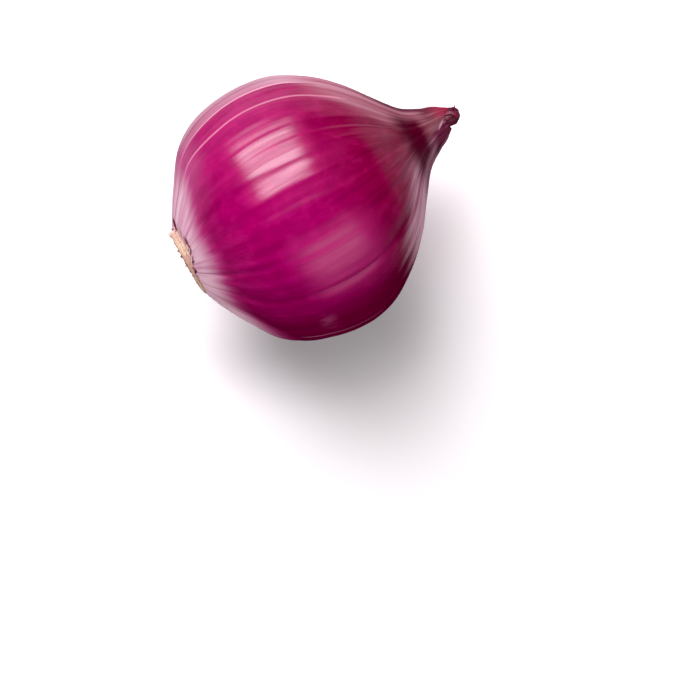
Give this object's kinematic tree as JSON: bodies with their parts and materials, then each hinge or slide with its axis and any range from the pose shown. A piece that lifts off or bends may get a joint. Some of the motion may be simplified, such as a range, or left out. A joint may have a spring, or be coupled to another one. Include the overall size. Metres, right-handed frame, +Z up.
{
  "type": "shallot",
  "caption": "Round red shallot bulb lying on its side, with ribbed glossy skins, a short pleated neck with a withered tip, and a corky root plate.",
  "frame": {"origin": "under the middle of the bounding box, on the surface that the shallot rests on", "axes": "+Z up from the resting surface; +X along the bulb from the root plate to the neck, in plan; +Y completes a right-handed frame"},
  "size_m": [0.0464, 0.04, 0.0378],
  "materials": {
    "skins": "smooth glossy bulb skin, magenta red, paler at the root end, brownish and papery at the neck",
    "root_cork": "matt dried cork with short root stubs, tan",
    "dried_leaf": "withered leaf ends, dark purple brown, faintly shiny on its folds"
  },
  "bodies": {
    "root": {"bulb_skins": "skins", "root_plate": "root_cork", "withered_tip": "dried_leaf"}
  },
  "joints": []
}
